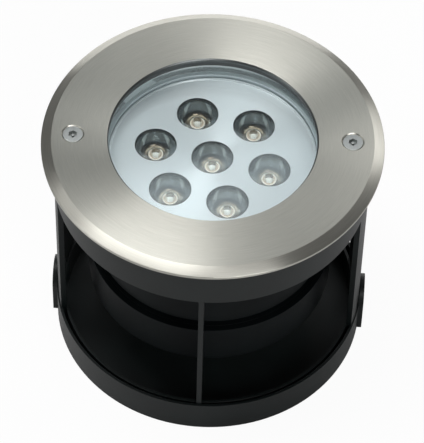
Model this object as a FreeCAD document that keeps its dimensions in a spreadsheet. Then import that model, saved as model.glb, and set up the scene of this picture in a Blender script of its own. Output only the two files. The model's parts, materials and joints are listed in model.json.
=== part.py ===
"""In-ground well light, in millimetres.

A black mounting sleeve stays in the ground. A sealed seven-LED lamp hangs in it on a ledge, and a
stainless cover ring closes the top. The origin is the centre of the sleeve's foot, with +Z up. The
cover screws lie on the X axis. The sleeve's ribs, pillars and cable outlets are turned by cage_turn.
"""
import FreeCAD, Part
import math
import os

import Sketcher

doc = FreeCAD.newDocument("WellLight")
sheet = doc.addObject("Spreadsheet::Sheet", "Sizes")
pieces = []


class Size:
    """A size as the text of an expression on the sheet, with its value in mm or degrees."""

    def __init__(self, text, value):
        self.text = text
        self.value = value

    def __add__(self, other):
        other = as_size(other)
        return Size("(%s + %s)" % (self.text, other.text), self.value + other.value)

    def __sub__(self, other):
        other = as_size(other)
        return Size("(%s - %s)" % (self.text, other.text), self.value - other.value)

    def __mul__(self, other):
        other = as_size(other)
        return Size("(%s * %s)" % (self.text, other.text), self.value * other.value)

    def __truediv__(self, other):
        other = as_size(other)
        return Size("(%s / %s)" % (self.text, other.text), self.value / other.value)

    def __neg__(self):
        return Size("(0 - %s)" % self.text, -self.value)


def as_size(number):
    """A plain number as a Size."""
    if isinstance(number, Size):
        return number
    return Size("%g" % number, float(number))


def cosine(angle):
    return Size("cos(%s * 1 deg)" % angle.text, math.cos(math.radians(angle.value)))


def sine(angle):
    return Size("sin(%s * 1 deg)" % angle.text, math.sin(math.radians(angle.value)))


def size(name, value):
    """One driving size: a named cell on the sheet."""
    row = size.rows
    size.rows += 1
    sheet.set("A%d" % row, name)
    sheet.set("B%d" % row, "%g" % value)
    sheet.setAlias("B%d" % row, name)
    return Size("Sizes.%s" % name, float(value))


size.rows = 1

# ---- driving sizes -------------------------------------------------------------------------------

# general fits
slip = size("slip_clearance", 0.1)
thread_gap = size("thread_clearance", 0.05)
wall_gap = size("wall_clearance", 0.4)
boss_gap = size("boss_clearance", 0.8)

# sleeve
sleeve_height = size("sleeve_height", 140.1)
sleeve_wall = size("sleeve_wall", 3.0)
collar_depth = size("collar_depth", 27.8)
ledge_width = size("ledge_width", 10.8)
ledge_drop = size("ledge_drop", 13.1)
ledge_thick = size("ledge_thickness", 3.5)
ledge_haunch = size("ledge_haunch", 4.0)
cage_turn = size("cage_turn", -2.4)
pillar_angle = size("pillar_half_angle", 17.0)
rib_width = size("rib_width", 2.7)
rib_depth = size("rib_depth", 8.0)
rib_inset = size("rib_face_inset", 0.4)
rib_angle = size("rib_from_pillar_angle", 90.0)
foot_wall = size("foot_wall", 1.6)
foot_lift = size("foot_lift", 0.3)
web_root = size("web_root", 1.0)

# base ring
band_height = size("band_height", 20.0)
band_overhang = size("band_overhang", 0.8)
band_wall = size("band_wall", 1.6)
lip_wall = size("lip_wall", 1.6)
lip_drop = size("lip_drop", 1.0)
channel_floor = size("channel_floor", 3.0)
base_thick = size("base_thickness", 2.5)
drain_radius = size("drain_radius", 30.0)
outlet_reach = size("outlet_reach", 1.9)
outlet_half_width = size("outlet_half_width", 10.5)
outlet_top = size("outlet_top", 29.5)
outlet_rim = size("outlet_rim", 2.5)

# cover
cover_radius = size("cover_radius", 90.0)
cover_thick = size("cover_thickness", 4.2)
cover_overhang = size("cover_overhang", 6.2)
aperture_lap = size("cover_aperture_lap", 2.7)
cover_bevel_run = size("cover_bevel_run", 5.4)
cover_bevel_fall = size("cover_bevel_fall", 2.6)
aperture_break = size("cover_aperture_chamfer", 0.5)
cover_lip_thick = size("cover_lip_thickness", 2.2)
cover_screw_radius = size("cover_screw_radius", 3.0)
cover_screw_length = size("cover_screw_length", 16.0)
cover_head_radius = size("cover_screw_head_radius", 5.75)
cover_head_depth = size("cover_screw_head_depth", 3.2)
cover_head_land = size("cover_screw_head_land", 0.4)
cover_hole_play = size("cover_hole_play", 0.3)
cover_head_recess = size("cover_screw_head_recess", 0.3)
countersink_play = size("countersink_play", 0.25)
key_across = size("hex_key_across_flats", 4.0)
key_depth = size("hex_key_depth", 2.4)
key_pin_radius = size("key_pin_radius", 0.8)
insert_radius = size("insert_radius", 4.4)
insert_length = size("insert_length", 12.0)
boss_radius = size("boss_radius", 6.5)
boss_length = size("boss_length", 20.0)
boss_inset = size("boss_inset", 7.5)
boss_floor = size("boss_floor", 2.0)
web_width = size("boss_web_width", 9.0)

# lamp housing, upper part
lamp_wall = size("lamp_wall", 5.1)
neck_wall = size("neck_wall", 6.0)
waist_cut = size("waist_cut", 2.9)
waist_height = size("waist_height", 4.0)
spigot_length = size("spigot_length", 8.0)
spigot_flange = size("spigot_flange_thickness", 4.0)
flange_thick = size("flange_thickness", 5.0)
floor_thick = size("floor_thickness", 6.0)
rim_inset = size("rim_inset", 1.7)
rim_width = size("rim_width", 10.4)

# glass
glass_thick = size("glass_thickness", 6.0)
seal_thick = size("seal_thickness", 1.0)
seal_width = size("seal_width", 3.7)
clamp_inset = size("clamp_inset", 0.4)
clamp_thick = size("clamp_thickness", 2.5)
gasket_width = size("gasket_width", 1.3)
clamp_screw_inset = size("clamp_screw_inset", 5.2)
clamp_screw_radius = size("clamp_screw_radius", 1.5)
clamp_screw_length = size("clamp_screw_length", 9.0)
clamp_head_radius = size("clamp_screw_head_radius", 2.8)
clamp_head_depth = size("clamp_screw_head_depth", 1.6)
clamp_first_angle = size("clamp_screw_first_angle", 30.0)

# LED plate, trim and board
plate_drop = size("plate_drop_from_cover_top", 16.0)
plate_gap = size("plate_edge_gap", 0.6)
plate_thick = size("plate_thickness", 1.5)
plate_bead = size("plate_bead", 0.7)
trim_wall = size("trim_wall", 1.2)
trim_lip = size("trim_lip", 0.9)
trim_lip_thick = size("trim_lip_thickness", 0.9)
trim_top_gap = size("trim_top_gap", 0.2)
led_pitch = size("led_pitch_radius", 31.1)
led_first_angle = size("led_first_angle", -14.0)
led_half_step = size("led_half_step_angle", 30.0)
led_hole = size("led_hole_radius", 11.1)
board_gap = size("board_edge_gap", 2.6)
board_thick = size("board_thickness", 1.6)
pad_thick = size("thermal_pad_thickness", 0.3)
board_screw_pitch = size("board_screw_pitch_radius", 18.0)
board_screw_radius = size("board_screw_radius", 1.5)
board_screw_length = size("board_screw_length", 6.0)
board_head_radius = size("board_screw_head_radius", 2.75)
board_head_height = size("board_screw_head_height", 1.8)
screw_tip_gap = size("screw_tip_gap", 0.5)

# optics
lens_recess = size("lens_recess", 1.2)
lens_rim = size("lens_rim_thickness", 1.2)
lens_body = size("lens_body_height", 12.3)
lens_flange = size("lens_flange_width", 1.2)
lens_gap = size("lens_clearance", 0.2)
lens_foot = size("lens_foot_radius", 5.6)
lens_cavity_gap = size("lens_cavity_gap", 0.5)
lens_cavity_depth = size("lens_cavity_depth", 4.6)
holder_wall = size("holder_wall", 1.0)
holder_floor = size("holder_floor", 1.2)
emitter_radius = size("emitter_radius", 4.0)
emitter_height = size("emitter_height", 2.2)
emitter_gap = size("emitter_clearance", 0.3)
dome_radius = size("dome_radius", 2.7)

# lower chamber
chamber_wall = size("chamber_wall", 3.4)
chamber_height = size("chamber_height", 27.5)
chamber_bottom = size("chamber_bottom_height", 36.0)
chamber_floor = size("chamber_floor_thickness", 4.0)
chamber_round = size("chamber_edge_chamfer", 3.0)
ring_radius = size("seal_ring_radius", 1.3)
ring_squeeze = size("seal_ring_squeeze", 0.2)
ring_drop = size("seal_ring_drop", 3.0)
tie_inset = size("tie_screw_inset", 8.5)
tie_land = size("tie_land", 8.0)
tie_radius = size("tie_screw_radius", 2.0)
tie_boss = size("tie_boss_radius", 4.5)
tie_head_radius = size("tie_head_radius", 3.5)
tie_head_height = size("tie_head_height", 4.0)
tie_head_gap = size("tie_head_clearance", 0.05)
tie_bite = size("tie_screw_bite", 3.4)
tie_first_angle = size("tie_first_angle", 45.0)

# driver
post_inset = size("driver_post_inset", 5.0)
post_radius = size("driver_post_radius", 3.5)
post_angle = size("driver_post_first_angle", 60.0)
post_height = size("driver_post_height", 5.0)
driver_plate_gap = size("driver_plate_gap", 1.5)
driver_plate_thick = size("driver_plate_thickness", 1.5)
driver_screw_radius = size("driver_screw_radius", 1.5)
driver_screw_bite = size("driver_screw_bite", 4.0)
driver_end_gap = size("driver_end_gap", 5.25)
driver_width = size("driver_width", 46.0)
driver_height = size("driver_height", 20.0)
driver_edge = size("driver_edge_chamfer", 2.0)
lead_radius = size("lead_radius", 0.9)
lead_half_gap = size("lead_half_gap", 1.6)
lead_pitch = size("lead_pitch_radius", 18.0)
lead_angle = size("lead_angle", 76.0)
lead_plug_in = size("lead_plug_in", 2.4)
terminal_length = size("terminal_length", 7.0)
terminal_width = size("terminal_width", 6.0)
terminal_height = size("terminal_height", 4.0)
grommet_radius = size("grommet_radius", 4.6)
grommet_flange = size("grommet_flange", 1.6)
grommet_flange_thick = size("grommet_flange_thickness", 1.2)

# cable gland
gland_thread = size("gland_thread_radius", 8.0)
gland_hex = size("gland_hex_across_flats", 22.0)
gland_hex_height = size("gland_hex_height", 6.0)
gland_bore = size("gland_bore_radius", 5.0)
gland_sleeve_wall = size("gland_sleeve_wall", 2.2)
gland_nut_hex = size("gland_nut_across_flats", 20.0)
gland_nut_height = size("gland_nut_height", 13.0)
gland_nut_mouth = size("gland_nut_mouth_radius", 4.8)
gland_spigot_length = size("gland_spigot_length", 9.0)
gland_spigot_step = size("gland_spigot_step", 1.0)
gland_washer_thick = size("gland_washer_thickness", 1.0)
gland_washer_width = size("gland_washer_width", 3.0)
locknut_across = size("locknut_across_flats", 21.0)
locknut_height = size("locknut_height", 3.6)
cable_radius = size("cable_radius", 3.8)
gland_seal_length = size("gland_seal_length", 8.0)

# ---- levels and radii that follow from them ------------------------------------------------------

cover_under = sleeve_height
cover_top = sleeve_height + cover_thick
cover_screw_top = cover_top - cover_head_recess
cover_lip_low = cover_top - cover_lip_thick
collar_low = sleeve_height - collar_depth
ledge_top = sleeve_height - ledge_drop
ledge_low = ledge_top - ledge_thick
sleeve_radius = cover_radius - cover_overhang
sleeve_inner = sleeve_radius - sleeve_wall
ledge_radius = sleeve_inner - ledge_width
band_radius = sleeve_radius + band_overhang
cover_screw_pitch = sleeve_inner - boss_inset
rim_radius = cover_screw_pitch - rim_inset
clamp_screw_pitch = rim_radius - clamp_screw_inset
glass_bore = rim_radius - rim_width
glass_radius = glass_bore - slip
lamp_bore = glass_radius - seal_width
clamp_inner = lamp_bore + clamp_inset
cover_aperture = lamp_bore - aperture_lap
gasket_outer = clamp_inner - slip
gasket_inner = gasket_outer - gasket_width
trim_outer = lamp_bore - slip
trim_inner = trim_outer - trim_wall
plate_radius = trim_inner - plate_gap
board_radius = trim_inner - board_gap
neck_radius = lamp_bore + lamp_wall
waist_radius = neck_radius - waist_cut
plate_top = cover_top - plate_drop
plate_low = plate_top - plate_thick
glass_top = cover_under - clamp_thick
glass_low = glass_top - glass_thick
seat_height = glass_low - seal_thick
lens_top = plate_top - lens_recess
lens_radius = led_hole - slip
lens_ledge = lens_top - lens_rim
lens_neck = lens_radius - lens_flange
lens_cavity = dome_radius + lens_cavity_gap
holder_bore = lens_radius + slip
holder_radius = holder_bore + holder_wall
emitter_seat = lens_ledge - lens_body
board_low = emitter_seat - board_thick
floor_top = board_low - pad_thick
floor_low = floor_top - floor_thick
neck_inner = neck_radius - neck_wall
step_height = chamber_bottom + chamber_height
spigot_low = step_height - spigot_length
chamber_inner = neck_radius + slip
chamber_radius = chamber_inner + chamber_wall
tie_pitch = neck_radius - tie_inset
spigot_opening = tie_pitch - tie_land
driver_plate_radius = tie_pitch - tie_boss - driver_plate_gap
post_pitch = driver_plate_radius - post_inset
driver_half_length = post_pitch - board_head_radius - driver_end_gap
chamber_floor_top = chamber_bottom + chamber_floor
board_screw_angle = led_first_angle + led_half_step
outlet_half_bore = outlet_half_width - outlet_rim
outlet_spring = outlet_top - outlet_half_width
foot_outer = band_radius - band_wall - slip
foot_inner = foot_outer - foot_wall

# how far a cut runs past the face that it opens, in millimetres, or past an edge, in degrees
past = 1.0
past_turn = 1.0


# ---- building blocks -----------------------------------------------------------------------------

def new_body(label):
    """A body whose label names the piece and its file."""
    body = doc.addObject("PartDesign::Body", label)
    body.Label = label
    body.AllowCompound = True
    pieces.append(body)
    return body


def origin_feature(body, role):
    return next(feature for feature in body.Origin.OriginFeatures if feature.Role == role)


def new_sketch(body, name, plane, lift=None, turn=None, turn_axis=(0, 1, 0)):
    """A sketch on an origin plane of the body, lifted off it or turned about the vertical."""
    sketch = body.newObject("Sketcher::SketchObject", name)
    sketch.AttachmentSupport = [(origin_feature(body, plane), "")]
    sketch.MapMode = "FlatFace"
    if turn is not None:
        turned_by = FreeCAD.Rotation(FreeCAD.Vector(*turn_axis), turn.value)
        sketch.AttachmentOffset = FreeCAD.Placement(FreeCAD.Vector(), turned_by)
        sketch.setExpression("AttachmentOffset.Rotation.Angle", "%s * 1 deg" % turn.text)
    if lift is not None:
        sketch.setExpression("AttachmentOffset.Base.z", lift.text)
    return sketch


def pin_point(sketch, geometry, which, across, up):
    """Fix a point of a sketch at sizes measured from the sketch's origin."""
    for kind, distance in (("DistanceX", across), ("DistanceY", up)):
        distance = as_size(distance)
        rule = sketch.addConstraint(Sketcher.Constraint(kind, -1, 1, geometry, which, distance.value))
        sketch.setExpression("Constraints[%d]" % rule, distance.text)


def add_polygon(sketch, corners):
    """A closed outline of straight lines through the corners."""
    points = [FreeCAD.Vector(as_size(across).value, as_size(up).value, 0) for across, up in corners]
    count = len(points)
    first = sketch.GeometryCount
    for i in range(count):
        sketch.addGeometry(Part.LineSegment(points[i], points[(i + 1) % count]), False)
    for i in range(count):
        following = first + (i + 1) % count
        sketch.addConstraint(Sketcher.Constraint("Coincident", first + i, 2, following, 1))
    for i, (across, up) in enumerate(corners):
        pin_point(sketch, first + i, 1, across, up)


def add_circle(sketch, across, up, radius):
    """A circle with its centre and radius tied to sizes."""
    centre = FreeCAD.Vector(as_size(across).value, as_size(up).value, 0)
    circle = sketch.addGeometry(Part.Circle(centre, FreeCAD.Vector(0, 0, 1), radius.value), False)
    pin_point(sketch, circle, 3, across, up)
    rule = sketch.addConstraint(Sketcher.Constraint("Radius", circle, radius.value))
    sketch.setExpression("Constraints[%d]" % rule, radius.text)


def add_axis(sketch, across):
    """A vertical construction line at a distance from the sketch's origin."""
    foot = FreeCAD.Vector(as_size(across).value, 0, 0)
    axis = sketch.addGeometry(Part.LineSegment(foot, foot + FreeCAD.Vector(0, 10, 0)), True)
    pin_point(sketch, axis, 1, across, 0)
    pin_point(sketch, axis, 2, across, 10)


def spin(body, kind, name, corners, pitch=None, turn=None):
    """Revolve an outline given as (radius, height), about Z or about an upright axis at a pitch."""
    sketch = new_sketch(body, name + "_outline", "XZ_Plane", turn=turn)
    if pitch is None:
        add_polygon(sketch, corners)
    else:
        add_polygon(sketch, [(pitch + radius, height) for radius, height in corners])
        add_axis(sketch, pitch)
    feature = body.newObject("PartDesign::" + kind, name)
    feature.Profile = sketch
    feature.ReferenceAxis = (sketch, ["V_Axis" if pitch is None else "Axis0"])
    feature.Angle = 360
    doc.recompute()
    return feature


def repeat(body, feature, count):
    """Repeat a feature evenly round Z."""
    pattern = body.newObject("PartDesign::PolarPattern", feature.Label + "_ring")
    pattern.Originals = [feature]
    pattern.Axis = (origin_feature(body, "Z_Axis"), [""])
    pattern.Angle = 360
    pattern.Occurrences = count
    body.Tip = pattern
    doc.recompute()
    return pattern


def turned(label, corners):
    """A piece turned about Z."""
    body = new_body(label)
    spin(body, "Revolution", label + "_turned", corners)
    return body


def box_outline(inner, outer, low, high):
    return [(inner, low), (outer, low), (outer, high), (inner, high)]


def bore_ring(body, name, corners, pitch, count, turn=None):
    """Round holes with the given half outline, evenly spaced on a pitch circle."""
    hole = spin(body, "Groove", name, corners, pitch, turn)
    if count > 1:
        repeat(body, hole, count)


def stud_ring(body, name, corners, pitch, count, turn=None):
    """Round solids with the given half outline, evenly spaced on a pitch circle."""
    stud = spin(body, "Revolution", name, corners, pitch, turn)
    if count > 1:
        repeat(body, stud, count)


def extrude(body, kind, name, sketch, length=None, both_ways=False):
    """Pad or pocket a sketch, by a length or through all."""
    feature = body.newObject("PartDesign::" + kind, name)
    feature.Profile = sketch
    if both_ways:
        feature.SideType = "Symmetric"
    if length is None:
        feature.Type = "ThroughAll"
    else:
        feature.setExpression("Length", length.text)
    doc.recompute()
    return feature


def seven_leds(label, corners):
    """The same turned solid at each LED: one in the middle and six round it."""
    body = new_body(label)
    spin(body, "Revolution", label + "_middle", corners)
    stud_ring(body, label + "_outer", corners, led_pitch, 6, led_first_angle)
    return body


def hexagon(across_flats):
    """Corners of a hexagon, round its centre."""
    reach = across_flats / (2.0 * math.cos(math.radians(30.0)))
    corners = []
    for i in range(6):
        around = math.radians(60.0 * i)
        corners.append((reach * round(math.cos(around), 6), reach * round(math.sin(around), 6)))
    return corners


# ---- sleeve --------------------------------------------------------------------------------------

def arch_outline(sketch, half_width, spring, foot):
    """An arch: a flat foot, two upright sides and a half-round top."""
    left = FreeCAD.Vector(-half_width.value, spring.value, 0)
    right = FreeCAD.Vector(half_width.value, spring.value, 0)
    left_foot = FreeCAD.Vector(-half_width.value, foot.value, 0)
    right_foot = FreeCAD.Vector(half_width.value, foot.value, 0)
    top = Part.Circle(FreeCAD.Vector(0, spring.value, 0), FreeCAD.Vector(0, 0, 1), half_width.value)
    sketch.addGeometry(Part.LineSegment(left_foot, right_foot), False)
    sketch.addGeometry(Part.LineSegment(right_foot, right), False)
    sketch.addGeometry(Part.ArcOfCircle(top, 0, math.pi), False)
    sketch.addGeometry(Part.LineSegment(left, left_foot), False)
    sketch.addConstraint(Sketcher.Constraint("Coincident", 0, 2, 1, 1))
    sketch.addConstraint(Sketcher.Constraint("Coincident", 1, 2, 2, 1))
    sketch.addConstraint(Sketcher.Constraint("Coincident", 2, 2, 3, 1))
    sketch.addConstraint(Sketcher.Constraint("Coincident", 3, 2, 0, 1))
    pin_point(sketch, 0, 1, -half_width, foot)
    pin_point(sketch, 0, 2, half_width, foot)
    pin_point(sketch, 2, 3, 0, spring)
    for end in (1, 2):
        rule = sketch.addConstraint(Sketcher.Constraint("DistanceY", -1, 1, 2, end, spring.value))
        sketch.setExpression("Constraints[%d]" % rule, spring.text)
    rule = sketch.addConstraint(Sketcher.Constraint("Radius", 2, half_width.value))
    sketch.setExpression("Constraints[%d]" % rule, half_width.text)


def cable_way(body, name, extra, sill):
    """Cut both cable outlets right through the body, above a sill and wider by an extra."""
    sketch = new_sketch(body, name + "_outline", "YZ_Plane", turn=cage_turn)
    arch_outline(sketch, outlet_half_bore + extra, outlet_spring, sill)
    extrude(body, "Pocket", name, sketch, both_ways=True)


def build_cage():
    body = new_body("sleeve_cage")
    foot_low = channel_floor + foot_lift
    spin(body, "Revolution", "cage_wall", [
        (foot_inner, foot_low), (foot_outer, foot_low), (foot_outer, band_height),
        (sleeve_radius, band_height), (sleeve_radius, sleeve_height), (sleeve_inner, sleeve_height),
        (sleeve_inner, ledge_top), (ledge_radius, ledge_top), (ledge_radius, ledge_low),
        (sleeve_inner, ledge_low - ledge_haunch), (sleeve_inner, band_height),
        (foot_inner, band_height)])

    # the windows between the pillars, cut from the collar's lower edge down
    reach = sleeve_radius * 1.5
    near_rib = rib_angle + past_turn
    for side, start, end in (("a", pillar_angle, near_rib), ("b", -near_rib, -pillar_angle)):
        sketch = new_sketch(body, "window_%s_outline" % side, "XY_Plane", lift=collar_low,
                            turn=cage_turn, turn_axis=(0, 0, 1))
        add_polygon(sketch, [(0, 0), (reach * cosine(start), reach * sine(start)),
                             (reach * cosine(end), reach * sine(end))])
        window = extrude(body, "Pocket", "window_%s" % side, sketch)
        repeat(body, window, 2)

    # the front and back ribs, with feet for the base ring's channel
    rib_outer = sleeve_radius - rib_inset
    rib_inner = sleeve_radius - rib_depth
    sketch = new_sketch(body, "rib_outline", "XZ_Plane", turn=cage_turn + rib_angle)
    add_polygon(sketch, [
        (foot_inner, foot_low), (foot_outer, foot_low), (foot_outer, band_height),
        (rib_outer, band_height), (rib_outer, collar_low + web_root), (sleeve_inner + web_root, ledge_low),
        (rib_inner, ledge_low), (rib_inner, band_height), (foot_inner, band_height)])
    rib = extrude(body, "Pad", "rib", sketch, length=rib_width, both_ways=True)
    repeat(body, rib, 2)

    # the cover screws' bosses, each on a web from the collar
    boss_low = sleeve_height - boss_length
    stud_ring(body, "boss", box_outline(0, boss_radius, boss_low, sleeve_height),
              cover_screw_pitch, 2)
    sketch = new_sketch(body, "web_outline", "XY_Plane", lift=boss_low)
    half_web = web_width / 2.0
    web_end = sleeve_inner + web_root
    add_polygon(sketch, [(cover_screw_pitch, -half_web), (web_end, -half_web),
                         (web_end, half_web), (cover_screw_pitch, half_web)])
    web = extrude(body, "Pad", "web", sketch, length=boss_length)
    repeat(body, web, 2)
    insert_low = sleeve_height - insert_length
    bore_ring(body, "insert_seat", box_outline(0, insert_radius, insert_low, sleeve_height + past),
              cover_screw_pitch, 2)
    bore_ring(body, "screw_relief",
              box_outline(0, cover_screw_radius + cover_hole_play, boss_low + boss_floor, insert_low),
              cover_screw_pitch, 2)
    cable_way(body, "pillar_cable_way", wall_gap, as_size(0.0))


def build_base_ring():
    body = new_body("sleeve_base_ring")
    sketch = new_sketch(body, "outlets_outline", "YZ_Plane", turn=cage_turn)
    arch_outline(sketch, outlet_half_width, outlet_spring, as_size(0.0))
    outlets = extrude(body, "Pad", "outlets", sketch, length=(band_radius + outlet_reach) * 2.0,
                      both_ways=True)
    body.Tip = outlets
    in_band = band_radius - band_wall / 2.0
    past_wall = sleeve_radius + wall_gap
    spin(body, "Groove", "outlets_inside", [
        (0, -past), (in_band, -past), (in_band, band_height), (past_wall, band_height),
        (past_wall, outlet_top + past), (0, outlet_top + past)])
    channel_outer = band_radius - band_wall
    channel_inner = foot_inner - slip
    lip_inner = channel_inner - lip_wall
    lip_top = band_height - lip_drop
    spin(body, "Revolution", "channel", [
        (drain_radius, 0), (band_radius, 0), (band_radius, band_height), (channel_outer, band_height),
        (channel_outer, channel_floor), (channel_inner, channel_floor), (channel_inner, lip_top),
        (lip_inner, lip_top), (lip_inner, base_thick), (drain_radius, base_thick)])
    cable_way(body, "outlet_cable_way", as_size(0.0), channel_floor)


def build_inserts():
    body = new_body("threaded_inserts")
    bore = cover_screw_radius + thread_gap
    stud_ring(body, "insert", box_outline(bore, insert_radius, sleeve_height - insert_length,
                                          sleeve_height), cover_screw_pitch, 2)


# ---- cover ---------------------------------------------------------------------------------------

def screw_outline(top, head, head_depth, land, shank, length):
    """Half outline of a countersunk screw, from its axis out."""
    return [(0, top - length), (shank, top - length), (shank, top - head_depth), (head, top - land),
            (head, top), (0, top)]


def build_cover_ring():
    body = turned("cover_ring", [
        (cover_aperture, cover_lip_low), (clamp_inner, cover_lip_low), (clamp_inner, cover_under),
        (cover_radius, cover_under),
        (cover_radius, cover_top - cover_bevel_fall), (cover_radius - cover_bevel_run, cover_top),
        (cover_aperture + aperture_break, cover_top), (cover_aperture, cover_top - aperture_break)])
    hole = cover_screw_radius + cover_hole_play
    mouth = cover_head_radius + countersink_play
    cone_top = cover_screw_top - cover_head_land
    bore_ring(body, "countersink", [
        (0, cover_under - past), (hole, cover_under - past), (hole, cover_screw_top - cover_head_depth),
        (mouth, cone_top), (mouth, cover_top + past), (0, cover_top + past)],
        cover_screw_pitch, 2)


def build_cover_screw(label, side):
    body = new_body(label)
    pitch = cover_screw_pitch * side
    spin(body, "Revolution", label + "_turned",
         screw_outline(cover_screw_top, cover_head_radius, cover_head_depth, cover_head_land,
                       cover_screw_radius, cover_screw_length), pitch)
    sketch = new_sketch(body, label + "_key_outline", "XY_Plane", lift=cover_screw_top)
    add_polygon(sketch, [(pitch + across, up) for across, up in hexagon(key_across)])
    add_circle(sketch, pitch, 0, key_pin_radius)
    body.Tip = extrude(body, "Pocket", label + "_key", sketch, length=key_depth)


def build_cover():
    build_cover_ring()
    build_cover_screw("cover_screw_left", -1.0)
    build_cover_screw("cover_screw_right", 1.0)
    turned("cover_gasket", box_outline(gasket_inner, gasket_outer, glass_top, cover_lip_low))


# ---- lamp: housing and glass ---------------------------------------------------------------------

def build_lamp_housing():
    flange_radius = sleeve_inner - wall_gap
    body = turned("lamp_housing", [
        (0, floor_low), (neck_inner, floor_low), (neck_inner, spigot_low + spigot_flange),
        (spigot_opening, spigot_low + spigot_flange), (spigot_opening, spigot_low),
        (neck_radius, spigot_low), (neck_radius, step_height), (waist_radius, step_height),
        (waist_radius, step_height + waist_height), (neck_radius, step_height + waist_height),
        (neck_radius, ledge_top), (flange_radius, ledge_top),
        (flange_radius, ledge_top + flange_thick), (rim_radius, ledge_top + flange_thick),
        (rim_radius, glass_top), (glass_bore, glass_top), (glass_bore, seat_height),
        (lamp_bore, seat_height), (lamp_bore, floor_top), (0, floor_top)])
    notch_reach = sleeve_radius - cover_screw_pitch
    sketch = new_sketch(body, "notch_outline", "XY_Plane", lift=glass_top + past)
    add_circle(sketch, cover_screw_pitch, 0, boss_radius + boss_gap)
    notch_depth = glass_top + past - ledge_top
    notch = extrude(body, "Pocket", "notch", sketch, length=notch_depth)
    repeat(body, notch, 2)
    half_slot = web_width / 2.0 + wall_gap
    sketch = new_sketch(body, "web_slot_outline", "XY_Plane", lift=glass_top + past)
    add_polygon(sketch, [(cover_screw_pitch, -half_slot), (cover_screw_pitch + notch_reach, -half_slot),
                         (cover_screw_pitch + notch_reach, half_slot), (cover_screw_pitch, half_slot)])
    slot = extrude(body, "Pocket", "web_slot", sketch, length=notch_depth)
    repeat(body, slot, 2)
    groove_low = step_height - ring_drop - ring_radius
    groove_high = step_height - ring_drop + ring_radius
    groove_floor = neck_radius - ring_radius * 2.0 + ring_squeeze
    spin(body, "Groove", "ring_groove",
         box_outline(groove_floor, neck_radius + past, groove_low, groove_high))
    clamp_hole_low = cover_under - clamp_screw_length
    bore_ring(body, "clamp_hole", box_outline(0, clamp_screw_radius + thread_gap, clamp_hole_low,
                                              glass_top + past),
              clamp_screw_pitch, 6, clamp_first_angle)
    bore_ring(body, "board_hole", box_outline(0, board_screw_radius + thread_gap,
                                              emitter_seat - board_screw_length, floor_top + past),
              board_screw_pitch, 3, board_screw_angle)
    bore_ring(body, "grommet_hole", box_outline(0, grommet_radius, floor_low - past, floor_top + past),
              lead_pitch, 1, lead_angle)
    bore_ring(body, "tie_hole", box_outline(0, tie_radius + thread_gap, spigot_low - past,
                                            spigot_low + spigot_flange + past),
              tie_pitch, 4, tie_first_angle)


def build_glass():
    turned("glass_disc", box_outline(0, glass_radius, glass_low, glass_top))
    turned("glass_seal", box_outline(lamp_bore, glass_radius, seat_height, glass_low))
    body = turned("glass_clamp_ring", box_outline(clamp_inner, rim_radius, glass_top, cover_under))
    sketch = new_sketch(body, "clamp_notch_outline", "XY_Plane", lift=cover_under)
    add_circle(sketch, cover_screw_pitch, 0, boss_radius + boss_gap)
    notch = extrude(body, "Pocket", "clamp_notch", sketch)
    repeat(body, notch, 2)
    hole = clamp_screw_radius + slip
    mouth = clamp_head_radius + slip
    bore_ring(body, "clamp_countersink", [
        (0, glass_top - past), (hole, glass_top - past), (hole, cover_under - clamp_head_depth),
        (mouth, cover_under), (mouth, cover_under + past), (0, cover_under + past)],
        clamp_screw_pitch, 6, clamp_first_angle)
    screws = new_body("clamp_screws")
    land = slip
    stud_ring(screws, "clamp_screw",
              screw_outline(cover_under, clamp_head_radius, clamp_head_depth, land,
                            clamp_screw_radius, clamp_screw_length),
              clamp_screw_pitch, 6, clamp_first_angle)


# ---- lamp: LED plate, optics and board -----------------------------------------------------------

def build_trim():
    lip_top = glass_low - trim_top_gap
    lip_inner = trim_inner - trim_lip
    turned("trim_sleeve", [
        (trim_inner, floor_top), (trim_outer, floor_top), (trim_outer, lip_top),
        (lip_inner, lip_top), (lip_inner, lip_top - trim_lip_thick),
        (trim_inner, lip_top - trim_lip_thick)])


def build_face_plate():
    bead_inner = plate_radius - plate_bead * 2.0
    body = turned("led_face_plate", [
        (0, plate_low), (plate_radius, plate_low), (plate_radius, plate_top),
        (plate_radius - plate_bead / 2.0, plate_top + plate_bead),
        (plate_radius - plate_bead * 1.5, plate_top + plate_bead), (bead_inner, plate_top),
        (0, plate_top)])
    opening = box_outline(0, led_hole, plate_low - past, plate_top + past)
    spin(body, "Groove", "middle_opening", opening)
    bore_ring(body, "outer_opening", opening, led_pitch, 6, led_first_angle)


def build_optics():
    lens_low = emitter_seat + emitter_height + emitter_gap
    seven_leds("led_lenses", [
        (lens_cavity, lens_low), (lens_foot, lens_low), (lens_neck, lens_ledge),
        (lens_radius, lens_ledge), (lens_radius, lens_top), (0, lens_top),
        (0, lens_low + lens_cavity_depth), (lens_cavity, lens_low + lens_cavity_depth)])
    ledge_bore = lens_neck + lens_gap
    foot_bore = emitter_radius + emitter_gap
    foot_top = emitter_seat + holder_floor
    seven_leds("lens_holders", [
        (foot_bore, emitter_seat), (holder_radius, emitter_seat), (holder_radius, plate_low),
        (holder_bore, plate_low), (holder_bore, lens_ledge), (ledge_bore, lens_ledge),
        (ledge_bore, foot_top), (foot_bore, foot_top)])
    emitter_top = emitter_seat + emitter_height
    seven_leds("led_emitters", box_outline(0, emitter_radius, emitter_seat, emitter_top))
    half_chord = dome_radius * cosine(as_size(45.0))
    seven_leds("led_domes", [
        (0, emitter_top), (dome_radius, emitter_top), (half_chord, emitter_top + half_chord),
        (0, emitter_top + dome_radius)])


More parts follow.
